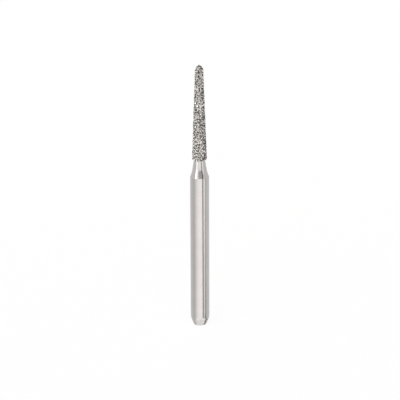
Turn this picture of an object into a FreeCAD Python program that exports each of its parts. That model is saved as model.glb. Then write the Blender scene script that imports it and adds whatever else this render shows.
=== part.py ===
import FreeCAD, Part

# A friction-grip diamond bur for a dental turbine, standing on its shank end.
# The blank is one turned steel piece, whose slim core carries a skin of nickel and diamond grit.
# Its axis is Z, its end face lies at z = 0 and its tip points up. All lengths are millimetres.

import math
import os
import random

import Sketcher
from FreeCAD import Vector

# The driving dimensions: alias, value and what it measures.
SIZES = (
    ("shank_diameter", 1.60, "shank, where the chuck grips it"),
    ("shank_length", 13.15, "end face to the foot of the shoulder"),
    ("end_diameter", 1.07, "flat end face"),
    ("bevel_length", 0.66, "lead-in bevel above the end face, along the axis"),
    ("bevel_round", 0.23, "reach of the curve from bevel to shank, each way from their corner"),
    ("shoulder_length", 0.42, "steep cone above the shank"),
    ("shoulder_step", 0.165, "how far in from the shank the shoulder steps"),
    ("shoulder_blend", 0.33, "reach of the hollow curve from shoulder to neck, each way from their corner"),
    ("neck_length", 1.02, "slim cone between shoulder and head"),
    ("neck_top_diameter", 0.96, "neck, where it enters the coat"),
    ("core_length", 7.85, "head core, from the coat's lower edge to its tip"),
    ("core_taper", 2.10, "head core's flank to the axis, in degrees"),
    ("nose_radius", 0.38, "arc of the head core's pointed nose"),
    ("core_tip_diameter", 0.12, "small flat on the head core's tip"),
    ("bond_thickness", 0.07, "nickel over the core"),
    ("grain_height", 0.095, "how far the tallest grain stands out of the nickel"),
    ("grain_pitch", 0.11, "step from one corner of the grit to the next"),
    ("edge_round", 0.16, "height over which the coat rounds off at its lower edge"),
    ("edge_thickness", 0.04, "coat at its very edge"),
)

# The blank's half profile: its lines in the order in which the sketch holds them, then the two corners
# that its arcs round off.
PROFILE = (
    "end",
    "bevel",
    "bevel_arc",
    "shank",
    "shoulder",
    "blend_arc",
    "neck",
    "flank",
    "nose",
    "tip",
    "axis",
    "bevel_corner",
    "blend_corner",
)

# The grit: its random seed, the share of its corners that are grain tips rather than hollows, how far
# each kind stands out as a share of the grain height, how far a corner strays along the surface as a
# share of the pitch, and the step from row to row as a share of the pitch.
GRIT_SEED = 41
TIP_SHARE = 0.42
TIP_HEIGHTS = (0.62, 1.0)
HOLLOW_HEIGHTS = (0.0, 0.24)
STRAY = 0.2
ROW_SHARE = math.sqrt(3) / 2
FEWEST_CORNERS = 5
MESH_TOLERANCE = 1e-5


def make_sheet(doc):
    """The spreadsheet of driving dimensions, one named row each."""
    sheet = doc.addObject("Spreadsheet::Sheet", "sizes")
    for row, (alias, value, meaning) in enumerate(SIZES, start=1):
        sheet.set(f"A{row}", alias)
        sheet.set(f"B{row}", str(value))
        sheet.set(f"C{row}", meaning)
        sheet.setAlias(f"B{row}", alias)
    doc.recompute()
    return sheet


def head_base(size):
    """Height of the coat's lower edge, where the neck ends."""
    return size("shank_length") + size("shoulder_length") + size("neck_length")


def outward(lean):
    """The direction in the profile that leans up from the horizontal by that angle."""
    return Vector(math.cos(lean), math.sin(lean), 0)


def nose_centre(size):
    """Centre of the nose arc, which is tangent to the flank and ends at the rim of the core's tip."""
    lean = math.radians(size("core_taper"))
    radius = size("nose_radius")
    slope = math.tan(lean)
    start = size("neck_top_diameter") / 2 - radius / math.cos(lean)
    inset = start - size("core_tip_diameter") / 2
    half = inset * slope + size("core_length")
    square = 1 + slope**2
    reach = inset**2 + size("core_length") ** 2 - radius**2
    height = (half - math.sqrt(half**2 - square * reach)) / square
    return Vector(start - slope * height, head_base(size) + height, 0)


def rounded(before, corner, after, reach):
    """Where an arc leaves and joins the two lines of a corner, that far from it, and the arc."""
    back = (before - corner).normalize()
    onward = (after - corner).normalize()
    half = back.getAngle(onward) / 2
    first = corner + back * reach
    last = corner + onward * reach
    centre = corner + (back + onward).normalize() * (reach / math.cos(half))
    middle = centre + (corner - centre).normalize() * (reach * math.tan(half))
    return first, last, Part.Arc(first, middle, last)


def draw_profile(sketch, size):
    """Draws the blank's half profile at its size, X outwards and Y up."""
    lean = math.radians(size("core_taper"))
    origin = Vector(0, 0, 0)
    end = Vector(size("end_diameter") / 2, 0, 0)
    bevel = Vector(size("shank_diameter") / 2, size("bevel_length"), 0)
    shank_top = Vector(size("shank_diameter") / 2, size("shank_length"), 0)
    blend = shank_top + Vector(-size("shoulder_step"), size("shoulder_length"), 0)
    neck_top = Vector(size("neck_top_diameter") / 2, head_base(size), 0)
    tip = Vector(0, head_base(size) + size("core_length"), 0)
    tip_rim = tip + Vector(size("core_tip_diameter") / 2, 0, 0)
    centre = nose_centre(size)
    nose_foot = centre + outward(lean) * size("nose_radius")
    nose_end = math.atan2(tip_rim.y - centre.y, tip_rim.x - centre.x)
    nose_circle = Part.Circle(centre, Vector(0, 0, 1), size("nose_radius"))
    bevel_top, shank_foot, bevel_arc = rounded(end, bevel, shank_top, size("bevel_round"))
    shoulder_top, neck_foot, blend_arc = rounded(shank_top, blend, neck_top, size("shoulder_blend"))
    lines = (
        Part.LineSegment(origin, end),
        Part.LineSegment(end, bevel_top),
        bevel_arc,
        Part.LineSegment(shank_foot, shank_top),
        Part.LineSegment(shank_top, shoulder_top),
        blend_arc,
        Part.LineSegment(neck_foot, neck_top),
        Part.LineSegment(neck_top, nose_foot),
        Part.ArcOfCircle(nose_circle, lean, nose_end),
        Part.LineSegment(tip_rim, tip),
        Part.LineSegment(tip, origin),
    )
    for line in lines:
        sketch.addGeometry(line, False)
    for corner in (bevel, blend):
        sketch.addGeometry(Part.Point(corner), True)


def spot(name, place="start"):
    """A line's start or end, or the sketch's origin, in the numbers that a constraint takes."""
    if name == "origin":
        return -1, 1
    return PROFILE.index(name), {"start": 1, "end": 2}[place]


def join_profile(sketch):
    """Joins the profile's lines, keeps its arcs tangent and squares its straight runs."""
    joints = (
        ("Coincident", spot("origin"), spot("end")),
        ("Coincident", spot("end", "end"), spot("bevel")),
        ("Tangent", spot("bevel", "end"), spot("bevel_arc")),
        ("Tangent", spot("bevel_arc", "end"), spot("shank")),
        ("Coincident", spot("shank", "end"), spot("shoulder")),
        ("Tangent", spot("shoulder", "end"), spot("blend_arc", "end")),
        ("Tangent", spot("blend_arc"), spot("neck")),
        ("Coincident", spot("neck", "end"), spot("flank")),
        ("Tangent", spot("flank", "end"), spot("nose")),
        ("Coincident", spot("nose", "end"), spot("tip")),
        ("Coincident", spot("tip", "end"), spot("axis")),
        ("Coincident", spot("axis", "end"), spot("end")),
    )
    for kind, first, second in joints:
        sketch.addConstraint(Sketcher.Constraint(kind, *first, *second))
    corners = (("bevel_corner", "bevel", "shank"), ("blend_corner", "shoulder", "neck"))
    for corner, *lines in corners:
        for line in lines:
            sketch.addConstraint(Sketcher.Constraint("PointOnObject", *spot(corner), PROFILE.index(line)))
    square_lines = (("Horizontal", "end"), ("Horizontal", "tip"), ("Vertical", "shank"), ("Vertical", "axis"))
    for kind, name in square_lines:
        sketch.addConstraint(Sketcher.Constraint(kind, PROFILE.index(name)))


def size_profile(sketch):
    """Binds the profile's corners, curves and taper to the sheet."""
    shoulder_top = "sizes.shank_length + sizes.shoulder_length"
    neck_top = f"{shoulder_top} + sizes.neck_length"
    places = (
        ("DistanceX", spot("end", "end"), "sizes.end_diameter / 2"),
        ("DistanceX", spot("bevel_corner"), "sizes.shank_diameter / 2"),
        ("DistanceY", spot("bevel_corner"), "sizes.bevel_length"),
        ("DistanceY", spot("shank", "end"), "sizes.shank_length"),
        ("DistanceX", spot("blend_corner"), "sizes.shank_diameter / 2 - sizes.shoulder_step"),
        ("DistanceY", spot("blend_corner"), shoulder_top),
        ("DistanceX", spot("neck", "end"), "sizes.neck_top_diameter / 2"),
        ("DistanceY", spot("neck", "end"), neck_top),
        ("DistanceX", spot("nose", "end"), "sizes.core_tip_diameter / 2"),
        ("DistanceY", spot("nose", "end"), f"{neck_top} + sizes.core_length"),
    )
    for kind, place, cell in places:
        point = sketch.getPoint(*place)
        distance = point.x if kind == "DistanceX" else point.y
        bind(sketch, Sketcher.Constraint(kind, *spot("origin"), *place, distance), cell)
    reaches = (("bevel_corner", "bevel", "bevel_round"), ("blend_corner", "shoulder", "shoulder_blend"))
    for corner, line, alias in reaches:
        places = spot(corner), spot(line, "end")
        reach = sketch.getPoint(*places[0]).distanceToPoint(sketch.getPoint(*places[1]))
        bind(sketch, Sketcher.Constraint("Distance", *places[0], *places[1], reach), f"sizes.{alias}")
    nose = PROFILE.index("nose")
    bind(sketch, Sketcher.Constraint("Radius", nose, sketch.Geometry[nose].Radius), "sizes.nose_radius")
    foot, top = sketch.getPoint(*spot("flank")), sketch.getPoint(*spot("flank", "end"))
    angle = math.atan2(top.y - foot.y, top.x - foot.x)
    bind(sketch, Sketcher.Constraint("Angle", PROFILE.index("flank"), angle), "90 + sizes.core_taper")


def bind(sketch, constraint, cell):
    """Adds a dimension to the sketch and ties it to the sheet."""
    number = sketch.addConstraint(constraint)
    sketch.setExpression(f"Constraints[{number}]", cell)


def make_blank(doc, size):
    """The turned steel blank: shank, shoulder, neck and head core in one piece."""
    body = doc.addObject("PartDesign::Body", "steel_blank")
    sketch = body.newObject("Sketcher::SketchObject", "blank_profile")
    plane = next(plane for plane in body.Origin.OriginFeatures if plane.Role == "XZ_Plane")
    sketch.AttachmentSupport = (plane, [""])
    sketch.MapMode = "FlatFace"
    draw_profile(sketch, size)
    join_profile(sketch)
    size_profile(sketch)
    doc.recompute()
    turned = body.newObject("PartDesign::Revolution", "turned_blank")
    turned.Profile = sketch
    turned.ReferenceAxis = (sketch, ["V_Axis"])
    turned.Angle = 360
    doc.recompute()
    return body


def core_rows(size):
    """Where each row of the grit stands on the core, from the lower edge up: a point and its outward lean."""
    lean = math.radians(size("core_taper"))
    centre = nose_centre(size)
    edge = Vector(size("neck_top_diameter") / 2, head_base(size), 0)
    nose_foot = centre + outward(lean) * size("nose_radius")
    row_step = size("grain_pitch") * ROW_SHARE
    steps = round((nose_foot - edge).Length / row_step)
    rows = [(edge + (nose_foot - edge) * (step / steps), lean) for step in range(steps)]
    skin_radius = size("nose_radius") + size("bond_thickness")
    last_lean = math.acos(-centre.x / skin_radius)
    steps = round((last_lean - lean) * skin_radius / row_step)
    for step in range(steps):
        nose_lean = lean + (last_lean - lean) * step / steps
        rows.append((centre + outward(nose_lean) * size("nose_radius"), nose_lean))
    return rows


def thickness(draw, tip_share, above, size):
    """The coat's thickness at one corner of the grit, that far above the lower edge."""
    heights = TIP_HEIGHTS if draw.random() < tip_share else HOLLOW_HEIGHTS
    full = size("bond_thickness") + draw.uniform(*heights) * size("grain_height")
    below = max(0, 1 - above / size("edge_round"))
    return size("edge_thickness") + (full - size("edge_thickness")) * math.sqrt(1 - below**2)


def grit_rings(size):
    """The grit's corners in rings up the head, and the point at the tip, with grain tips all round it."""
    draw = random.Random(GRIT_SEED)
    pitch = size("grain_pitch")
    edge_height = head_base(size)
    rows = core_rows(size)
    rings = []
    for row, (foot, lean) in enumerate(rows):
        tip_share = TIP_SHARE if row < len(rows) - 1 else 1
        bond = foot + outward(lean) * size("bond_thickness")
        along = outward(lean + math.pi / 2) * pitch
        corners = max(FEWEST_CORNERS, round(2 * math.pi * bond.x / pitch))
        ring = []
        for corner in range(corners):
            turn = 2 * math.pi * (corner + row % 2 / 2 + draw.uniform(-STRAY, STRAY)) / corners
            place = foot + outward(lean) * thickness(draw, tip_share, foot.y - edge_height, size)
            place += along * draw.uniform(-STRAY, STRAY)
            height = place.y if row else edge_height
            ring.append(Vector(place.x * math.cos(turn), place.x * math.sin(turn), height))
        rings.append(ring)
    centre = nose_centre(size)
    skin_radius = size("nose_radius") + size("bond_thickness") + size("grain_height")
    tip = Vector(0, 0, centre.y + math.sqrt(skin_radius**2 - centre.x**2))
    return rings, tip


def stitch(lower, upper, points):
    """Triangles between two rings of numbered points, by the shorter side each time."""
    facets = []
    low, high = 0, 0
    while low < len(lower) or high < len(upper):
        a, next_a = lower[low % len(lower)], lower[(low + 1) % len(lower)]
        b, next_b = upper[high % len(upper)], upper[(high + 1) % len(upper)]
        low_side = points[next_a].distanceToPoint(points[b])
        high_side = points[next_b].distanceToPoint(points[a])
        if high == len(upper) or (low < len(lower) and low_side <= high_side):
            facets.append((a, next_a, b))
            low += 1
        else:
            facets.append((a, next_b, b))
            high += 1
    return facets


def grit_skin(size):
    """The head's outer form: a closed solid of facets, with one flat face at its lower edge."""
    rings, tip = grit_rings(size)
    points = [tip]
    numbers = []
    for ring in rings:
        numbers.append(list(range(len(points), len(points) + len(ring))))
        points += ring
    facets = []
    for lower, upper in zip(numbers, numbers[1:]):
        facets += stitch(lower, upper, points)
    last = numbers[-1]
    facets += [(a, b, 0) for a, b in zip(last, last[1:] + last[:1])]
    grit = Part.Shape()
    grit.makeShapeFromMesh((points, facets), MESH_TOLERANCE)
    foot = Part.Face(Part.makePolygon(rings[0] + rings[0][:1]))
    return Part.makeSolid(Part.Shell(grit.Faces + [foot]))


def make_coat(doc, blank, size):
    """The coat of nickel and diamond grit: the faceted skin, less the blank's core that fills it."""
    coat = doc.addObject("Part::Feature", "diamond_coat")
    coat.Shape = grit_skin(size).cut(blank.Shape)
    return coat


def check(doc, parts):
    """Stops the run if an object failed, or if a sub-part isn't one valid solid."""
    for thing in doc.Objects:
        if "Invalid" in thing.State or "Error" in thing.State:
            raise RuntimeError(f"{thing.Name} failed: {thing.State}")
    for part in parts:
        if part.Shape.isNull() or not part.Shape.isValid() or len(part.Shape.Solids) != 1:
            raise RuntimeError(f"{part.Label} is not one valid solid")


def main():
    doc = FreeCAD.newDocument("dental_bur")
    sheet = make_sheet(doc)

    def size(alias):
        return float(sheet.get(alias))

    blank = make_blank(doc, size)
    coat = make_coat(doc, blank, size)
    blank.Label, coat.Label = "steel_blank", "diamond_coat"
    doc.recompute()
    check(doc, (blank, coat))
    os.makedirs("parts", exist_ok=True)
    for part in (blank, coat):
        part.Shape.exportStep(os.path.join("parts", f"{part.Label}.step"))


main()
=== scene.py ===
import math
import random
from collections import namedtuple

import bmesh
import bpy
from bpy.props import FloatProperty, FloatVectorProperty, IntProperty, PointerProperty
from mathutils import Euler, Matrix, Vector
from mathutils.kdtree import KDTree


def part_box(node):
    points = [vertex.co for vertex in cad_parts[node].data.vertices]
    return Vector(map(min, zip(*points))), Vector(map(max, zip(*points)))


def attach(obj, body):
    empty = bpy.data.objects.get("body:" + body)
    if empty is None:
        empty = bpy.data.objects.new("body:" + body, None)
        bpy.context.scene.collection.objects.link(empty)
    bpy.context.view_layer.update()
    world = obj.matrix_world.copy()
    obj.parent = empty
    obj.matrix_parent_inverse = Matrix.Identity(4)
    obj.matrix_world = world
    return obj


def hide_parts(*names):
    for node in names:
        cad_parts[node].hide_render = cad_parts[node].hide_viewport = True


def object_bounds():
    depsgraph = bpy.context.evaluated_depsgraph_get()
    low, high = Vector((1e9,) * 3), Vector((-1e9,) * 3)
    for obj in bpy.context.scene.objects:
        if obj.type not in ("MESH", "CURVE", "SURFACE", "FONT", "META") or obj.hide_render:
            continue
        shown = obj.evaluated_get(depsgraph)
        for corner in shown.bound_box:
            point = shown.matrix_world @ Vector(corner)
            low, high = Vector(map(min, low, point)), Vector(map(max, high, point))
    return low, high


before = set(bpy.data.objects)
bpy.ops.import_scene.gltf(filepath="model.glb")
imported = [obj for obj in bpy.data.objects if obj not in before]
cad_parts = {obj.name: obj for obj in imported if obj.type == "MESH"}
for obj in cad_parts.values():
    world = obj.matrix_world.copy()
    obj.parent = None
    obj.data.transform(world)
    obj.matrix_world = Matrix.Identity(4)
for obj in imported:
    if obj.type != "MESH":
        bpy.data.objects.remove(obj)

bl_info = {
    "name": "Diamond Bur",
    "version": (1, 0, 0),
    "blender": (4, 5, 0),
    "location": "3D View > Sidebar > Bur",
    "description": "Dresses a friction-grip diamond bur: ground steel blank, nickel bond and diamond grit",
    "category": "Mesh",
}

MM = 0.001
CAD_LOW, CAD_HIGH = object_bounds()
BLANK_LOW, BLANK_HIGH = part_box("steel_blank")
COAT_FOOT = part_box("diamond_coat")[0].z
LENGTH = {"unit": "LENGTH", "subtype": "DISTANCE", "precision": 6}
TURN = {"unit": "ROTATION", "subtype": "ANGLE"}
COLOUR = {"subtype": "COLOR", "size": 3, "min": 0.0, "max": 1.0}


# Sizes and colours that a user would change

class BurBlankSizes(bpy.types.PropertyGroup):
    """The turned steel blank."""

    shank_radius: FloatProperty(
        name="Shank Radius", description="Radius of the ground shank", default=BLANK_HIGH.x, **LENGTH)
    shank_length: FloatProperty(
        name="Shank Length", description="End face to the shoulder's foot", default=13.15 * MM, **LENGTH)
    end_radius: FloatProperty(
        name="End Radius", description="Radius of the flat end face", default=0.535 * MM, **LENGTH)
    end_rim: FloatProperty(
        name="End Rim", description="Reach of the small curve at the end face's rim",
        default=0.035 * MM, **LENGTH)
    bevel_length: FloatProperty(
        name="Bevel Length", description="Lead-in bevel along the axis", default=0.66 * MM, **LENGTH)
    bevel_round: FloatProperty(
        name="Bevel Round", description="Reach of the curve from bevel to shank",
        default=0.23 * MM, **LENGTH)
    shoulder_length: FloatProperty(
        name="Shoulder Length", description="Steep cone above the shank", default=0.42 * MM, **LENGTH)
    shoulder_step: FloatProperty(
        name="Shoulder Step", description="How far in from the shank it steps", default=0.165 * MM, **LENGTH)
    shoulder_rim: FloatProperty(
        name="Shoulder Rim", description="Reach of the small curve at the shoulder's foot",
        default=0.006 * MM, **LENGTH)
    shoulder_blend: FloatProperty(
        name="Shoulder Blend", description="Reach of the hollow curve from shoulder to neck",
        default=0.33 * MM, **LENGTH)
    neck_top_radius: FloatProperty(
        name="Neck Top Radius", description="Neck, where it enters the coat", default=0.48 * MM, **LENGTH)
    core_taper: FloatProperty(
        name="Core Taper", description="Head core's flank to the axis", default=math.radians(2.1), **TURN)
    nose_radius: FloatProperty(
        name="Nose Radius", description="Arc of the head core's nose", default=0.38 * MM, **LENGTH)
    core_tip_radius: FloatProperty(
        name="Core Tip Radius", description="Small flat on the head core's tip", default=0.06 * MM, **LENGTH)
    segments: IntProperty(name="Segments", description="Faces round the blank", default=160, min=24)
    row_step: FloatProperty(
        name="Row Step", description="Longest face along the blank", default=0.5 * MM, **LENGTH)


class BurCoatSizes(bpy.types.PropertyGroup):
    """The nickel bond and the diamond grains in it."""

    bond_thickness: FloatProperty(
        name="Bond Thickness", description="Nickel over the core", default=0.075 * MM, **LENGTH)
    bond_step: FloatProperty(
        name="Bond Step", description="Spacing of the nickel's mesh", default=0.026 * MM, **LENGTH)
    bond_ripple: FloatProperty(
        name="Bond Ripple", description="Unevenness of the plated nickel", default=0.005 * MM, **LENGTH)
    edge_thickness: FloatProperty(
        name="Edge Thickness", description="Nickel at its lower edge", default=0.012 * MM, **LENGTH)
    edge_round: FloatProperty(
        name="Edge Round", description="Height over which the lower edge rounds off",
        default=0.14 * MM, **LENGTH)
    edge_ragged: FloatProperty(
        name="Ragged Edge", description="How far the lower edge wanders", default=0.08 * MM, **LENGTH)
    meniscus_height: FloatProperty(
        name="Meniscus Height", description="How far nickel climbs a grain", default=0.035 * MM, **LENGTH)
    meniscus_reach: FloatProperty(
        name="Meniscus Reach", description="How far from a grain's middle the nickel climbs",
        default=0.086 * MM, **LENGTH)
    grain_least: FloatProperty(
        name="Smallest Grain", description="Width of the smallest grain", default=0.09 * MM, **LENGTH)
    grain_most: FloatProperty(
        name="Largest Grain", description="Width of the largest grain", default=0.14 * MM, **LENGTH)
    grain_height: FloatProperty(
        name="Grain Height", description="How far the tallest grain stands out", default=0.09 * MM, **LENGTH)
    grain_spacing: FloatProperty(
        name="Grain Spacing", description="Least distance between two grains", default=0.086 * MM, **LENGTH)
    darts: IntProperty(name="Darts", description="Tries at placing a grain", default=24000, min=100)
    seed: IntProperty(name="Seed", description="Random seed of the grit", default=53)


class BurFinishes(bpy.types.PropertyGroup):
    """Colours of the finishes."""

    steel: FloatVectorProperty(
        name="Steel", description="Ground stainless steel", default=(0.78, 0.765, 0.755), **COLOUR)
    # Painted shade: a darker steel colour laid into the pits of the tumbled bevel
    pit_painted_shade: FloatVectorProperty(
        name="Steel Pit", description="Pits of the tumbled bevel", default=(0.6, 0.586, 0.577), **COLOUR)
    steel_stain: FloatVectorProperty(
        name="Steel Stain", description="Faint stain on the steel", default=(0.68, 0.66, 0.65), **COLOUR)
    nickel: FloatVectorProperty(
        name="Nickel", description="Plated nickel between the grains", default=(0.84, 0.812, 0.77), **COLOUR)
    nickel_shade: FloatVectorProperty(
        name="Nickel Shade", description="Duller nickel", default=(0.42, 0.408, 0.388), **COLOUR)
    diamond_dark: FloatVectorProperty(
        name="Dark Diamond", description="Darkest grains", default=(0.03, 0.03, 0.028), **COLOUR)
    diamond_pale: FloatVectorProperty(
        name="Pale Diamond", description="Grains that nickel has filmed over", default=(0.98, 0.952, 0.908),
        **COLOUR)
    floor: FloatVectorProperty(
        name="Floor Glow", description="Light that the floor gives off", default=(0.9, 0.9, 0.9), **COLOUR)
    floor_sheet: FloatVectorProperty(
        name="Floor Sheet", description="Sheet on the floor", default=(0.14, 0.14, 0.14), **COLOUR)


class BurStudio(bpy.types.PropertyGroup):
    """Camera, floor and light."""

    elevation: FloatProperty(
        name="Elevation", description="Camera's height above the horizon", default=math.radians(17), **TURN)
    distance: FloatProperty(
        name="Distance", description="Camera to the place it looks at", default=131 * MM, **LENGTH)
    aim_height: FloatProperty(
        name="Aim Height", description="Height that the camera looks at", default=11.1 * MM, **LENGTH)
    aim_side: FloatProperty(
        name="Aim Side", description="How far right of the axis the camera looks",
        default=0.034 * MM, **LENGTH)
    roll: FloatProperty(
        name="Roll", description="Camera's turn about its own view", default=math.radians(-0.217), **TURN)
    lens: FloatProperty(name="Lens", description="Focal length", default=140.4, subtype="DISTANCE_CAMERA")
    floor_width: FloatProperty(name="Floor Width", description="Width of the floor", default=0.8, **LENGTH)
    strength: FloatProperty(name="Light", description="Strength of the studio's light", default=1.0)


# Outlines: their points are (radius, height)

RIM_STEPS = 4
BLEND_STEPS = 16
NOSE_STEPS = 24
MARGIN_SHARE = 1 / 8
MARGIN_MOST = 0.03 * MM


def leaning(lean):
    """The direction in an outline that leans up from the horizontal by that angle."""
    return Vector((math.cos(lean), math.sin(lean)))


def arc(centre, radius, first, last, steps):
    """Points of an arc from one angle to another."""
    return [centre + leaning(first + (last - first) * step / steps) * radius for step in range(steps + 1)]


def rounded(before, corner, after, reach, steps):
    """Points of the arc that rounds off a corner, and starts and ends that far from it."""
    back = (before - corner).normalized()
    onward = (after - corner).normalized()
    half = back.angle(onward) / 2
    centre = corner + (back + onward).normalized() * (reach / math.cos(half))
    arm = corner + back * reach - centre
    first = math.atan2(arm.y, arm.x)
    sweep = math.pi - 2 * half
    return arc(centre, arm.length, first, first + (sweep if back.cross(onward) < 0 else -sweep), steps)


def straight(start, end, longest):
    """Points between two places, both left out, with two close to the ends to keep the shading true."""
    length = (end - start).length
    margin = min(length * MARGIN_SHARE, MARGIN_MOST)
    count = max(1, math.ceil((length - 2 * margin) / longest))
    places = [margin + (length - 2 * margin) * number / count for number in range(count + 1)]
    return [start.lerp(end, place / length) for place in places]


class HeadCore:
    """The blank's core under the coat: its outline, and places over it.

    A run up the coat is measured along the core's flank and, round its nose, that lift above the core.
    """

    def __init__(self, blank, lift):
        self.lean = blank.core_taper
        self.radius = blank.nose_radius
        self.edge = Vector((blank.neck_top_radius, COAT_FOOT))
        self.tip_rim = Vector((blank.core_tip_radius, BLANK_HIGH.z))
        # The nose's centre is its radius away from the flank and from the rim of the tip's flat
        length = self.tip_rim.y - self.edge.y
        slope = math.tan(self.lean)
        start = self.edge.x - self.radius / math.cos(self.lean)
        inset = start - self.tip_rim.x
        half = inset * slope + length
        square = 1 + slope**2
        reach = inset**2 + length**2 - self.radius**2
        height = (half - math.sqrt(half**2 - square * reach)) / square
        self.centre = self.edge + Vector((start - slope * height - self.edge.x, height))
        self.nose_foot = self.centre + leaning(self.lean) * self.radius
        self.flank = (self.nose_foot - self.edge).length
        self.lifted = self.radius + lift
        self.last_lean = math.acos(-self.centre.x / self.lifted)
        self.length = self.flank + (self.last_lean - self.lean) * self.lifted

    def outline(self, row_step):
        """The core's own outline, from the coat's lower edge to the rim of its small flat."""
        rim = self.tip_rim - self.centre
        nose = arc(self.centre, self.radius, self.lean, math.atan2(rim.y, rim.x), NOSE_STEPS)
        return [self.edge] + straight(self.edge, self.nose_foot, row_step) + nose

    def over(self, run, turn, rise):
        """The place that far up the coat, round the axis and over the core, and the way out there."""
        lean = self.lean
        foot = self.edge + leaning(lean + math.pi / 2) * run
        if run > self.flank:
            lean += (run - self.flank) / self.lifted
            foot = self.centre + leaning(lean) * self.radius
        out = leaning(lean)
        spot = foot + out * rise
        ray = Vector((math.sin(turn), -math.cos(turn), 0))
        upward = Vector((0, 0, 1))
        return ray * max(spot.x, 0) + upward * spot.y, ray * out.x + upward * out.y

    def crown(self, rise):
        """Height of the tip, with that much over the core."""
        return self.centre.y + math.sqrt((self.radius + rise) ** 2 - self.centre.x**2)


def blank_outline(blank):
    """The blank's half outline, from the middle of its end face to the middle of its core's tip."""
    core = HeadCore(blank, 0)
    end_middle = Vector((0, BLANK_LOW.z))
    end = end_middle + Vector((blank.end_radius, 0))
    bevel = end_middle + Vector((blank.shank_radius, blank.bevel_length))
    shank_top = end_middle + Vector((blank.shank_radius, blank.shank_length))
    blend = shank_top + Vector((-blank.shoulder_step, blank.shoulder_length))
    stations = (
        rounded(end_middle, end, bevel, blank.end_rim, RIM_STEPS),
        rounded(end, bevel, shank_top, blank.bevel_round, BLEND_STEPS),
        rounded(bevel, shank_top, blend, blank.shoulder_rim, RIM_STEPS),
        rounded(shank_top, blend, core.edge, blank.shoulder_blend, BLEND_STEPS),
        core.outline(blank.row_step),
        [Vector((0, BLANK_HIGH.z))],
    )
    outline = [end_middle]
    for station in stations:
        if len(station) > 1:
            outline += straight(outline[-1], station[0], blank.row_step)
        outline += station
    return outline


# Meshes

def add_piece(name, vertices, faces):
    """A new mesh object in the scene."""
    mesh = bpy.data.meshes.new(name)
    mesh.from_pydata(vertices, [], faces)
    mesh.update()
    piece = bpy.data.objects.new(name, mesh)
    bpy.context.scene.collection.objects.link(piece)
    return piece


def bridge(rings):
    """Faces between closed rings of numbered points, one above the other."""
    faces = []
    for lower, upper in zip(rings, rings[1:]):
        for number in range(len(lower)):
            onward = (number + 1) % len(lower)
            faces.append((lower[number], lower[onward], upper[onward], upper[number]))
    return faces


def fan(ring, middle):
    """Faces from a closed ring of numbered points to the point in its middle."""
    return [(ring[number], ring[(number + 1) % len(ring)], middle) for number in range(len(ring))]


def lathe(name, outline, segments):
    """A closed mesh turned from an outline that starts and ends on the axis."""
    vertices = [Vector((0, 0, outline[0].y)), Vector((0, 0, outline[-1].y))]
    rings = []
    for point in outline[1:-1]:
        rings.append(range(len(vertices), len(vertices) + segments))
        for segment in range(segments):
            turn = 2 * math.pi * segment / segments
            vertices.append(Vector((point.x * math.cos(turn), point.x * math.sin(turn), point.y)))
    faces = bridge(rings) + fan(rings[-1], 1) + fan(rings[0][::-1], 0)
    piece = add_piece(name, vertices, faces)
    piece.data.shade_smooth()
    return piece


LOWEST_GRAIN = 0.09 * MM


def scatter_grains(core, coat):
    """Where the grains sit, no two closer than the spacing: place, way out and run up the coat of each."""
    draw = random.Random(coat.seed)
    cell = coat.grain_spacing
    widest = core.edge.x + coat.bond_thickness
    cells = {}
    grains = []
    for dart in range(coat.darts):
        run = draw.uniform(LOWEST_GRAIN, core.length) if dart else core.length
        turn = draw.uniform(0, 2 * math.pi)
        spot, out = core.over(run, turn, coat.bond_thickness)
        if dart and draw.random() > math.hypot(spot.x, spot.y) / widest:
            continue
        key = tuple(math.floor(axis / cell) for axis in spot)
        near = [other for x in (-1, 0, 1) for y in (-1, 0, 1) for z in (-1, 0, 1)
                for other in cells.get((key[0] + x, key[1] + y, key[2] + z), ())]
        if all((other - spot).length > cell for other in near):
            cells.setdefault(key, []).append(spot)
            grains.append((spot, out, run))
    return grains


INNER_STEP = 0.4 * MM
WANDER_SPAN = 4
MEAN_CLIMB = 0.5


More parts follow.
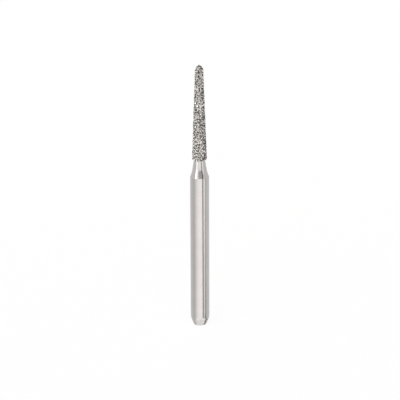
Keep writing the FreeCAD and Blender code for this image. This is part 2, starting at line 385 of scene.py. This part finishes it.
def plate_bond(blank, coat):
    """The nickel bond: an uneven skin that climbs round each grain, closed by a wall on the core."""
    draw = random.Random(coat.seed + 2)
    core = HeadCore(blank, coat.bond_thickness)
    grains = scatter_grains(core, coat)
    tree = KDTree(len(grains))
    for number, (spot, _, _) in enumerate(grains):
        tree.insert(spot, number)
    tree.balance()
    segments = round(2 * math.pi * (core.edge.x + coat.bond_thickness) / coat.bond_step)
    rows = round(core.length / coat.bond_step)
    wander = [draw.uniform(0, coat.edge_ragged) for _ in range(segments)]
    edges = [sum(wander[(number + step) % segments] for step in range(WANDER_SPAN)) / WANDER_SPAN
             for number in range(segments)]
    vertices, rings = [], []

    def add_ring(places):
        rings.append(range(len(vertices), len(vertices) + segments))
        vertices.extend(places)

    def outer(row, segment):
        turn = 2 * math.pi * (segment + row % 2 / 2) / segments
        run = edges[segment] + (core.length - edges[segment]) * row / rows
        foot, _ = core.over(run, turn, coat.bond_thickness)
        near = tree.find_range(foot, coat.meniscus_reach)
        climb = min(1, sum((1 - (gap / coat.meniscus_reach) ** 2) ** 2 for _, _, gap in near))
        rise = coat.bond_thickness + coat.meniscus_height * (climb - MEAN_CLIMB)
        rise += draw.uniform(-1, 1) * coat.bond_ripple
        below = max(0, 1 - (run - edges[segment]) / coat.edge_round)
        rise = coat.edge_thickness + (rise - coat.edge_thickness) * math.sqrt(1 - below**2)
        return core.over(run, turn, rise)[0]

    for point in reversed(core.outline(INNER_STEP)):
        turns = (2 * math.pi * segment / segments for segment in range(segments))
        add_ring([Vector((point.x * math.sin(turn), -point.x * math.cos(turn), point.y)) for turn in turns])
    for row in range(rows):
        add_ring([outer(row, segment) for segment in range(segments)])
    vertices += [Vector((0, 0, BLANK_HIGH.z)), Vector((0, 0, core.crown(coat.bond_thickness)))]
    faces = bridge(rings) + fan(rings[0][::-1], len(vertices) - 2) + fan(rings[-1], len(vertices) - 1)
    piece = add_piece("nickel_bond", vertices, faces)
    piece.data.shade_smooth()
    return piece


GRAIN_TONE = "grain_tone"
CRYSTAL_KINDS = 24
CRYSTAL_CUBE = 0.9
CRYSTAL_CUTS = 11
CRYSTAL_REACH = (0.40, 0.52)
CRYSTAL_FLATTER = (0.75, 1.0)
PROUD_SHARES = (0.7, 1.05)
NOSE_SHARES = (0.95, 1.2)
GRAIN_EDGE_ROUND = 0.22 * MM
TONE_TRIES = 4
TONE_REACH = 0.17 * MM
TONE_STRAY = 0.25


def crystal(draw):
    """The corners and sides of a blocky crystal about one unit wide: a cube, broken off by random cuts."""
    shape = bmesh.new()
    bmesh.ops.create_cube(shape, size=CRYSTAL_CUBE)
    for _ in range(CRYSTAL_CUTS):
        way = Vector((draw.gauss(0, 1), draw.gauss(0, 1), draw.gauss(0, 1))).normalized()
        everything = shape.verts[:] + shape.edges[:] + shape.faces[:]
        cut = bmesh.ops.bisect_plane(shape, geom=everything, plane_co=way * draw.uniform(*CRYSTAL_REACH),
                                     plane_no=way, clear_outer=True)
        rim = [part for part in cut["geom_cut"] if isinstance(part, bmesh.types.BMEdge)]
        if rim:
            bmesh.ops.edgeloop_fill(shape, edges=rim)
    bmesh.ops.recalc_face_normals(shape, faces=shape.faces)
    shape.verts.index_update()
    corners = [vertex.co.copy() for vertex in shape.verts]
    sides = [[vertex.index for vertex in face.verts] for face in shape.faces]
    shape.free()
    return corners, sides


def tone_grains(grains, draw):
    """A tone for each grain, dark 0 to pale 1, picked to differ from its neighbours'."""
    toned = []
    for spot, _, _ in grains:
        near = [tone for other, tone in toned if (other - spot).length < TONE_REACH]
        tries = [draw.random() for _ in range(TONE_TRIES if near else 1)]
        gaps = [min((abs(tone - other) for other in near), default=0) for tone in tries]
        toned.append((spot, tries[gaps.index(max(gaps))]))
    return [tone for _, tone in toned]


def grow_grains(blank, coat):
    """All the diamond grains in one mesh, turned at random and sunk in the bond, each side with a tone."""
    draw = random.Random(coat.seed + 1)
    core = HeadCore(blank, coat.bond_thickness)
    kinds = [crystal(draw) for _ in range(CRYSTAL_KINDS)]
    vertices, faces, tones = [], [], []
    grains = scatter_grains(core, coat)
    for (spot, out, run), tone in zip(grains, tone_grains(grains, draw)):
        corners, sides = draw.choice(kinds)
        width = draw.uniform(coat.grain_least, coat.grain_most)
        flatter = [width * draw.uniform(*CRYSTAL_FLATTER) for _ in range(2)]
        spin = Euler([draw.uniform(0, 2 * math.pi) for _ in range(3)]).to_matrix()
        shape = spin @ Matrix.Diagonal((width, *flatter))
        placed = [shape @ corner for corner in corners]
        proud = coat.grain_height * draw.uniform(*(NOSE_SHARES if run > core.flank else PROUD_SHARES))
        below = max(0, 1 - run / GRAIN_EDGE_ROUND)
        proud -= (proud + coat.bond_thickness) * (1 - math.sqrt(1 - below**2))
        middle = spot + out * (proud - max(corner.dot(out) for corner in placed))
        first = len(vertices)
        vertices += [middle + corner for corner in placed]
        for side in sides:
            faces.append([first + number for number in side])
            tones.append(min(1, max(0, tone + draw.uniform(-TONE_STRAY, TONE_STRAY))))
    piece = add_piece("diamond_grains", vertices, faces)
    layer = piece.data.attributes.new(GRAIN_TONE, "FLOAT", "FACE")
    layer.data.foreach_set("value", tones)
    return piece


# Finishes

def add_node(tree, kind, values=None, **settings):
    """A new node with its settings and the values of its inputs."""
    made = tree.nodes.new(kind)
    for name, value in settings.items():
        setattr(made, name, value)
    for socket, value in (values or {}).items():
        made.inputs[socket].default_value = value
    return made


def new_group(name, inputs, outputs):
    """An empty node group with named sockets, and its two end nodes."""
    group = bpy.data.node_groups.new(name, "ShaderNodeTree")
    for label, kind, default in inputs:
        group.interface.new_socket(label, in_out="INPUT", socket_type=kind).default_value = default
    for label, kind in outputs:
        group.interface.new_socket(label, in_out="OUTPUT", socket_type=kind)
    return group, group.nodes.new("NodeGroupInput").outputs, group.nodes.new("NodeGroupOutput").inputs


MARK_STRETCH = (0.06, 0.06, 1.0)


def grinding_marks():
    """Fine marks of a wheel that ran round the axis: long that way and short along the axis."""
    group, given, result = new_group(
        "Grinding Marks",
        (("Scale", "NodeSocketFloat", 40000.0),),
        (("Height", "NodeSocketFloat"),))
    coords = add_node(group, "ShaderNodeTexCoord")
    squeeze = add_node(group, "ShaderNodeVectorMath", {1: MARK_STRETCH}, operation="MULTIPLY")
    noise = add_node(group, "ShaderNodeTexNoise", {"Detail": 3.0, "Roughness": 0.6})
    group.links.new(coords.outputs["Object"], squeeze.inputs[0])
    group.links.new(squeeze.outputs[0], noise.inputs["Vector"])
    group.links.new(given["Scale"], noise.inputs["Scale"])
    group.links.new(noise.outputs["Fac"], result["Height"])
    return group


def mottle():
    """Soft patches, such as a tumbled surface or a faint stain, and the colour that they mix."""
    group, given, result = new_group(
        "Mottle",
        (("Scale", "NodeSocketFloat", 3000.0), ("Amount", "NodeSocketFloat", 1.0),
         ("Ground", "NodeSocketColor", (1, 1, 1, 1)), ("Patch", "NodeSocketColor", (0, 0, 0, 1))),
        (("Mask", "NodeSocketFloat"), ("Color", "NodeSocketColor")))
    coords = add_node(group, "ShaderNodeTexCoord")
    noise = add_node(group, "ShaderNodeTexNoise", {"Detail": 4.0, "Roughness": 0.55})
    spread = add_node(group, "ShaderNodeMapRange", {"From Min": 0.35, "From Max": 0.65})
    fade = add_node(group, "ShaderNodeMath", operation="MULTIPLY")
    mix = add_node(group, "ShaderNodeMix", data_type="RGBA")
    group.links.new(coords.outputs["Object"], noise.inputs["Vector"])
    group.links.new(given["Scale"], noise.inputs["Scale"])
    group.links.new(noise.outputs["Fac"], spread.inputs["Value"])
    group.links.new(spread.outputs["Result"], fade.inputs[0])
    group.links.new(given["Amount"], fade.inputs[1])
    group.links.new(fade.outputs[0], mix.inputs["Factor"])
    group.links.new(given["Ground"], mix.inputs["A"])
    group.links.new(given["Patch"], mix.inputs["B"])
    group.links.new(fade.outputs[0], result["Mask"])
    group.links.new(mix.outputs["Result"], result["Color"])
    return group


HALF_TURN = 180.0


def studio_panel():
    """Puts one soft-edged panel of light or shade into the studio, by where it stands round the bur."""
    group, given, result = new_group(
        "Studio Panel",
        (("Around", "NodeSocketFloat", 0.0), ("Up", "NodeSocketFloat", 0.0),
         ("Azimuth", "NodeSocketFloat", 0.0), ("Half Width", "NodeSocketFloat", 10.0),
         ("Side Fade", "NodeSocketFloat", 5.0), ("Elevation", "NodeSocketFloat", 0.0),
         ("Half Height", "NodeSocketFloat", 10.0), ("End Fade", "NodeSocketFloat", 5.0),
         ("Room", "NodeSocketColor", (1, 1, 1, 1)), ("Panel", "NodeSocketColor", (1, 1, 1, 1))),
        (("Color", "NodeSocketColor"),))
    masks = []
    ways = (("Around", "Azimuth", "Half Width", "Side Fade"), ("Up", "Elevation", "Half Height", "End Fade"))
    for place, middle, half, fade in ways:
        apart = add_node(group, "ShaderNodeMath", operation="SUBTRACT")
        wrapped = add_node(group, "ShaderNodeMath", {1: HALF_TURN, 2: -HALF_TURN}, operation="WRAP")
        gap = add_node(group, "ShaderNodeMath", operation="ABSOLUTE")
        outside = add_node(group, "ShaderNodeMath", operation="ADD")
        mask = add_node(group, "ShaderNodeMapRange", {"To Min": 1.0, "To Max": 0.0},
                        interpolation_type="SMOOTHSTEP")
        group.links.new(given[place], apart.inputs[0])
        group.links.new(given[middle], apart.inputs[1])
        group.links.new(apart.outputs[0], wrapped.inputs[0])
        group.links.new(wrapped.outputs[0], gap.inputs[0])
        group.links.new(given[half], outside.inputs[0])
        group.links.new(given[fade], outside.inputs[1])
        group.links.new(gap.outputs[0], mask.inputs["Value"])
        group.links.new(given[half], mask.inputs["From Min"])
        group.links.new(outside.outputs[0], mask.inputs["From Max"])
        masks.append(mask)
    both = add_node(group, "ShaderNodeMath", operation="MULTIPLY")
    mix = add_node(group, "ShaderNodeMix", data_type="RGBA")
    group.links.new(masks[0].outputs["Result"], both.inputs[0])
    group.links.new(masks[1].outputs["Result"], both.inputs[1])
    group.links.new(both.outputs[0], mix.inputs["Factor"])
    group.links.new(given["Room"], mix.inputs["A"])
    group.links.new(given["Panel"], mix.inputs["B"])
    group.links.new(mix.outputs["Result"], result["Color"])
    return group


GROUPS = {"Grinding Marks": grinding_marks, "Mottle": mottle, "Studio Panel": studio_panel}


def use_group(tree, name, **values):
    """Places a shared group in a material or the world, built once, with its own values."""
    placed = tree.nodes.new("ShaderNodeGroup")
    placed.node_tree = bpy.data.node_groups.get(name) or GROUPS[name]()
    for label, value in values.items():
        placed.inputs[label.replace("_", " ")].default_value = value
    return placed


def opaque(colour):
    """The colour with full alpha."""
    return (*colour, 1.0)


def new_material(name, **constants):
    """A material with one Principled shader, whose constants stand on its own sockets."""
    material = bpy.data.materials.new(name)
    material.use_nodes = True
    tree = material.node_tree
    tree.nodes.clear()
    shader = add_node(tree, "ShaderNodeBsdfPrincipled",
                      {label.replace("_", " "): value for label, value in constants.items()})
    output = add_node(tree, "ShaderNodeOutputMaterial")
    tree.links.new(shader.outputs["BSDF"], output.inputs["Surface"])
    return material, tree, shader


TUMBLED_END = 1.1
TUMBLED_FULL = 0.8
MARKS_DEPTH = 0.5
PITS_ROUGHER = 0.1
STEEL_RELIEF = 0.006 * MM
NICKEL_RELIEF = 0.006 * MM
FROST_RELIEF = 0.004 * MM
BARE_TONE = 0.43
FILMED_TONE = 0.51
TOOTH_SHADE = 0.97


def ground_steel(finishes, blank):
    """Ground stainless steel, with fine marks round the axis and a tumbled bevel that fades out above, whose
    pits get painted shade.
    """
    material, tree, shader = new_material("ground_steel", Metallic=1.0)
    stain = use_group(tree, "Mottle", Scale=900.0, Amount=0.4,
                      Ground=opaque(finishes.steel), Patch=opaque(finishes.steel_stain))
    marks = use_group(tree, "Grinding Marks", Scale=45000.0)
    dents = use_group(tree, "Mottle", Scale=7000.0)
    coords = add_node(tree, "ShaderNodeTexCoord")
    axes = add_node(tree, "ShaderNodeSeparateXYZ")
    tumbled = add_node(tree, "ShaderNodeMapRange", {"From Min": blank.bevel_length * TUMBLED_END,
                                                    "From Max": blank.bevel_length * TUMBLED_FULL})
    # Depth of the bevel's pits: drives their bumps, their roughness and their painted shade
    pit_depth_and_shade = add_node(tree, "ShaderNodeMath", operation="MULTIPLY")
    height = add_node(tree, "ShaderNodeMath", {1: MARKS_DEPTH}, operation="MULTIPLY_ADD")
    bump = add_node(tree, "ShaderNodeBump", {"Strength": 0.5, "Distance": STEEL_RELIEF})
    polish = add_node(tree, "ShaderNodeMapRange", {"To Min": 0.12, "To Max": 0.2})
    rough = add_node(tree, "ShaderNodeMath", {1: PITS_ROUGHER}, operation="MULTIPLY_ADD")
    # Painted shade: the deeper pits of the bevel take the darker pit colour
    pit_shade_mix = add_node(tree, "ShaderNodeMix", {"B": opaque(finishes.pit_painted_shade)}, data_type="RGBA")
    tree.links.new(stain.outputs["Color"], pit_shade_mix.inputs["A"])
    tree.links.new(pit_depth_and_shade.outputs[0], pit_shade_mix.inputs["Factor"])
    tree.links.new(pit_shade_mix.outputs["Result"], shader.inputs["Base Color"])
    tree.links.new(coords.outputs["Object"], axes.inputs[0])
    tree.links.new(axes.outputs["Z"], tumbled.inputs["Value"])
    tree.links.new(dents.outputs["Mask"], pit_depth_and_shade.inputs[0])
    tree.links.new(tumbled.outputs["Result"], pit_depth_and_shade.inputs[1])
    tree.links.new(marks.outputs["Height"], height.inputs[0])
    tree.links.new(pit_depth_and_shade.outputs[0], height.inputs[2])
    tree.links.new(height.outputs[0], bump.inputs["Height"])
    tree.links.new(bump.outputs["Normal"], shader.inputs["Normal"])
    tree.links.new(marks.outputs["Height"], polish.inputs["Value"])
    tree.links.new(pit_depth_and_shade.outputs[0], rough.inputs[0])
    tree.links.new(polish.outputs["Result"], rough.inputs[2])
    tree.links.new(rough.outputs[0], shader.inputs["Roughness"])
    return material


def plated_nickel(finishes):
    """Matt plated nickel with fine nodules."""
    material, tree, shader = new_material("plated_nickel", Metallic=1.0)
    patches = use_group(tree, "Mottle", Scale=14000.0,
                        Ground=opaque(finishes.nickel), Patch=opaque(finishes.nickel_shade))
    nodules = use_group(tree, "Mottle", Scale=60000.0)
    bump = add_node(tree, "ShaderNodeBump", {"Strength": 0.5, "Distance": NICKEL_RELIEF})
    rough = add_node(tree, "ShaderNodeMapRange", {"To Min": 0.25, "To Max": 0.4})
    tree.links.new(patches.outputs["Color"], shader.inputs["Base Color"])
    tree.links.new(nodules.outputs["Mask"], bump.inputs["Height"])
    tree.links.new(bump.outputs["Normal"], shader.inputs["Normal"])
    tree.links.new(nodules.outputs["Mask"], rough.inputs["Value"])
    tree.links.new(rough.outputs["Result"], shader.inputs["Roughness"])
    return material


def diamond_grit(finishes):
    """Grains from dark, glassy diamond to pale ones that nickel has filmed over."""
    material, tree, shader = new_material("diamond_grit", IOR=2.4, Specular_IOR_Level=0.3)
    tone = add_node(tree, "ShaderNodeAttribute", attribute_name=GRAIN_TONE)
    colour = add_node(tree, "ShaderNodeMix", {"A": opaque(finishes.diamond_dark),
                                              "B": opaque(finishes.diamond_pale)}, data_type="RGBA")
    film = add_node(tree, "ShaderNodeMapRange", {"From Min": BARE_TONE, "From Max": FILMED_TONE})
    frost = use_group(tree, "Mottle", Scale=40000.0)
    rough = add_node(tree, "ShaderNodeMapRange", {"To Min": 0.2, "To Max": 0.4})
    bump = add_node(tree, "ShaderNodeBump", {"Strength": 0.3, "Distance": FROST_RELIEF})
    tree.links.new(tone.outputs["Fac"], film.inputs["Value"])
    tree.links.new(film.outputs["Result"], colour.inputs["Factor"])
    tree.links.new(colour.outputs["Result"], shader.inputs["Base Color"])
    tree.links.new(film.outputs["Result"], shader.inputs["Metallic"])
    tree.links.new(frost.outputs["Mask"], rough.inputs["Value"])
    tree.links.new(rough.outputs["Result"], shader.inputs["Roughness"])
    tree.links.new(frost.outputs["Mask"], bump.inputs["Height"])
    tree.links.new(bump.outputs["Normal"], shader.inputs["Normal"])
    return material


def light_table(finishes):
    """Matt white sheet, lit from below so that the bur throws only a faint shadow."""
    material, tree, shader = new_material("light_table", Roughness=0.8, Specular_IOR_Level=0.1,
                                          Emission_Color=opaque(finishes.floor), Emission_Strength=1.0)
    shade = [channel * TOOTH_SHADE for channel in finishes.floor_sheet]
    tooth = use_group(tree, "Mottle", Scale=900.0, Ground=opaque(finishes.floor_sheet), Patch=opaque(shade))
    tree.links.new(tooth.outputs["Color"], shader.inputs["Base Color"])
    return material


# The studio: panels of light and shade round the bur, in degrees from the camera's side, right being +.
# A later panel lies over the earlier ones.

Panel = namedtuple("Panel", "azimuth half_width side_fade bottom top end_fade colour")
CAMERA_NEAR = 10 * MM
ROOM = (0.63, 0.62, 0.615)
PANELS = (
    Panel(180, 25, 34, -90, 2, 4, (0.84, 0.825, 0.815)),
    Panel(158, 3, 5, -40, 44, 6, (0.2, 0.2, 0.2)),
    Panel(0, 8, 62, -90, 1, 3, (1.04, 1.005, 1.0)),
    Panel(-78, 5, 26, -40, -6, 5, (0.545, 0.535, 0.535)),
    Panel(88, 8, 20, -90, -6, 5, (0.61, 0.6, 0.6)),
    Panel(14, 13, 4, -90, 1, 3, (1.075, 1.025, 1.015)),
    Panel(8, 17, 6, -9, 1, 3, (1.2, 1.17, 1.16)),
    Panel(41, 3, 4, -30, -18.6, 2, (0.06, 0.06, 0.06)),
    Panel(38.5, 3, 4, -16.6, -6, 2, (0.06, 0.06, 0.06)),
    Panel(59, 4, 4, -16.5, 6, 8, (1.15, 1.125, 1.115)),
    Panel(72, 3, 8, -30, -6, 4, (0.51, 0.5, 0.5)),
    Panel(33, 4, 4, -1, 6, 3, (0.1, 0.1, 0.1)),
    Panel(12, 62, 12, -90, -36, 6, (1.03, 1.01, 1.005)),
    Panel(4, 80, 20, -90, -48, 6, (1.03, 1.01, 1.005)),
    Panel(75, 5, 6, -33, -24, 5, (0.06, 0.06, 0.06)),
    Panel(105, 12, 7, -50, -36, 4, (0.14, 0.14, 0.14)),
    Panel(-45, 6, 4, 4, 24, 4, (3.5, 3.5, 3.5)),
    Panel(-27, 4, 5, 10, 44, 6, (0.9, 0.88, 0.87)),
    Panel(8, 16, 4, 6, 44, 4, (0.4, 0.39, 0.39)),
    Panel(40, 5, 4, 6, 44, 3, (0.02, 0.02, 0.02)),
    Panel(0, 180, 1, 36, 58, 5, (0.6, 0.6, 0.6)),
    Panel(-20, 38, 12, 36, 58, 5, (2.6, 2.6, 2.6)),
    Panel(0, 180, 1, 58, 90, 8, (0.3, 0.3, 0.3)),
    Panel(105, 50, 30, 33, 90, 6, (0.3, 0.29, 0.29)),
)


def light_studio(studio):
    """The world: a pale room with the panels in it, seen by the direction that a ray leaves in."""
    world = bpy.data.worlds.new("studio")
    world.use_nodes = True
    tree = world.node_tree
    tree.nodes.clear()
    coords = add_node(tree, "ShaderNodeTexCoord")
    axes = add_node(tree, "ShaderNodeSeparateXYZ")
    toward = add_node(tree, "ShaderNodeMath", {1: -1.0}, operation="MULTIPLY")
    turn = add_node(tree, "ShaderNodeMath", operation="ARCTAN2")
    around = add_node(tree, "ShaderNodeMath", operation="DEGREES")
    rise = add_node(tree, "ShaderNodeMath", operation="ARCSINE")
    up = add_node(tree, "ShaderNodeMath", operation="DEGREES")
    tree.links.new(coords.outputs["Generated"], axes.inputs[0])
    tree.links.new(axes.outputs["Y"], toward.inputs[0])
    tree.links.new(axes.outputs["X"], turn.inputs[0])
    tree.links.new(toward.outputs[0], turn.inputs[1])
    tree.links.new(turn.outputs[0], around.inputs[0])
    tree.links.new(axes.outputs["Z"], rise.inputs[0])
    tree.links.new(rise.outputs[0], up.inputs[0])
    seen = add_node(tree, "ShaderNodeRGB").outputs[0]
    seen.default_value = opaque(ROOM)
    for panel in PANELS:
        placed = use_group(tree, "Studio Panel", Azimuth=panel.azimuth, Half_Width=panel.half_width,
                           Side_Fade=panel.side_fade, Elevation=(panel.bottom + panel.top) / 2,
                           Half_Height=(panel.top - panel.bottom) / 2, End_Fade=panel.end_fade,
                           Panel=opaque(panel.colour))
        tree.links.new(around.outputs[0], placed.inputs["Around"])
        tree.links.new(up.outputs[0], placed.inputs["Up"])
        tree.links.new(seen, placed.inputs["Room"])
        seen = placed.outputs["Color"]
    background = add_node(tree, "ShaderNodeBackground", {"Strength": studio.strength})
    output = add_node(tree, "ShaderNodeOutputWorld")
    tree.links.new(seen, background.inputs["Color"])
    tree.links.new(background.outputs[0], output.inputs["Surface"])
    bpy.context.scene.world = world


def lay_floor(studio, finishes):
    """The floor under the bur."""
    half = studio.floor_width / 2
    corners = [Vector((x * half, y * half, CAD_LOW.z)) for x, y in ((-1, -1), (1, -1), (1, 1), (-1, 1))]
    floor = add_piece("floor", corners, [(0, 1, 2, 3)])
    floor.data.materials.append(light_table(finishes))
    floor.visible_glossy = False


def place_camera(studio):
    """The camera, placed and rolled as the photograph's was."""
    data = bpy.data.cameras.new("camera")
    data.lens = studio.lens
    data.clip_start = CAMERA_NEAR
    camera = bpy.data.objects.new("camera", data)
    aim = Vector((studio.aim_side, 0, studio.aim_height))
    away = Vector((0, -math.cos(studio.elevation), math.sin(studio.elevation)))
    camera.matrix_world = (
        Matrix.Translation(aim + away * studio.distance)
        @ away.to_track_quat("Z", "Y").to_matrix().to_4x4()
        @ Matrix.Rotation(studio.roll, 4, "Z"))
    bpy.context.scene.collection.objects.link(camera)
    bpy.context.scene.camera = camera


# Operators, one for each piece and one for the stage

class BUR_OT_turn_blank(bpy.types.Operator):
    """Turn the steel blank, from its end face to its core's tip"""

    bl_idname = "bur.turn_blank"
    bl_label = "Turn Steel Blank"

    def execute(self, context):
        blank = context.scene.bur_blank
        piece = lathe("turned_blank", blank_outline(blank), blank.segments)
        piece.data.materials.append(ground_steel(context.scene.bur_finishes, blank))
        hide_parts("steel_blank")
        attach(piece, "root")
        return {"FINISHED"}


class BUR_OT_plate_bond(bpy.types.Operator):
    """Plate the nickel bond onto the head's core"""

    bl_idname = "bur.plate_bond"
    bl_label = "Plate Nickel Bond"

    def execute(self, context):
        piece = plate_bond(context.scene.bur_blank, context.scene.bur_coat)
        piece.data.materials.append(plated_nickel(context.scene.bur_finishes))
        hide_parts("diamond_coat")
        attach(piece, "root")
        return {"FINISHED"}


class BUR_OT_set_grains(bpy.types.Operator):
    """Set the diamond grains in the bond"""

    bl_idname = "bur.set_grains"
    bl_label = "Set Diamond Grains"

    def execute(self, context):
        piece = grow_grains(context.scene.bur_blank, context.scene.bur_coat)
        piece.data.materials.append(diamond_grit(context.scene.bur_finishes))
        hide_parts("diamond_coat")
        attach(piece, "root")
        return {"FINISHED"}


class BUR_OT_set_stage(bpy.types.Operator):
    """Set the floor, the light and the camera"""

    bl_idname = "bur.set_stage"
    bl_label = "Set Stage"

    def execute(self, context):
        studio = context.scene.bur_studio
        lay_floor(studio, context.scene.bur_finishes)
        light_studio(studio)
        place_camera(studio)
        context.scene.view_settings.view_transform = "Standard"
        return {"FINISHED"}


class BUR_PT_sidebar(bpy.types.Panel):
    """Sizes, colours and operators of the bur"""

    bl_label = "Diamond Bur"
    bl_idname = "BUR_PT_sidebar"
    bl_space_type = "VIEW_3D"
    bl_region_type = "UI"
    bl_category = "Bur"

    def draw(self, context):
        for label, group, operators in SECTIONS:
            box = self.layout.box()
            box.label(text=label)
            sizes = getattr(context.scene, group)
            for name in type(sizes).__annotations__:
                box.prop(sizes, name)
            for operator in operators:
                box.operator(operator.bl_idname)


SECTIONS = (
    ("Finishes", "bur_finishes", ()),
    ("Blank", "bur_blank", (BUR_OT_turn_blank,)),
    ("Coat", "bur_coat", (BUR_OT_plate_bond, BUR_OT_set_grains)),
    ("Studio", "bur_studio", (BUR_OT_set_stage,)),
)
GROUPS_OF_SIZES = {
    "bur_blank": BurBlankSizes,
    "bur_coat": BurCoatSizes,
    "bur_finishes": BurFinishes,
    "bur_studio": BurStudio,
}
CLASSES = (
    *GROUPS_OF_SIZES.values(),
    BUR_OT_turn_blank,
    BUR_OT_plate_bond,
    BUR_OT_set_grains,
    BUR_OT_set_stage,
    BUR_PT_sidebar,
)


def register():
    for cls in CLASSES:
        bpy.utils.register_class(cls)
    for name, group in GROUPS_OF_SIZES.items():
        setattr(bpy.types.Scene, name, PointerProperty(type=group))


def unregister():
    for name in GROUPS_OF_SIZES:
        delattr(bpy.types.Scene, name)
    for cls in reversed(CLASSES):
        bpy.utils.unregister_class(cls)


def main():
    """Dress the part."""
    register()
    bpy.ops.bur.turn_blank()
    bpy.ops.bur.plate_bond()
    bpy.ops.bur.set_grains()
    bpy.ops.bur.set_stage()


if __name__ == "__main__":
    main()
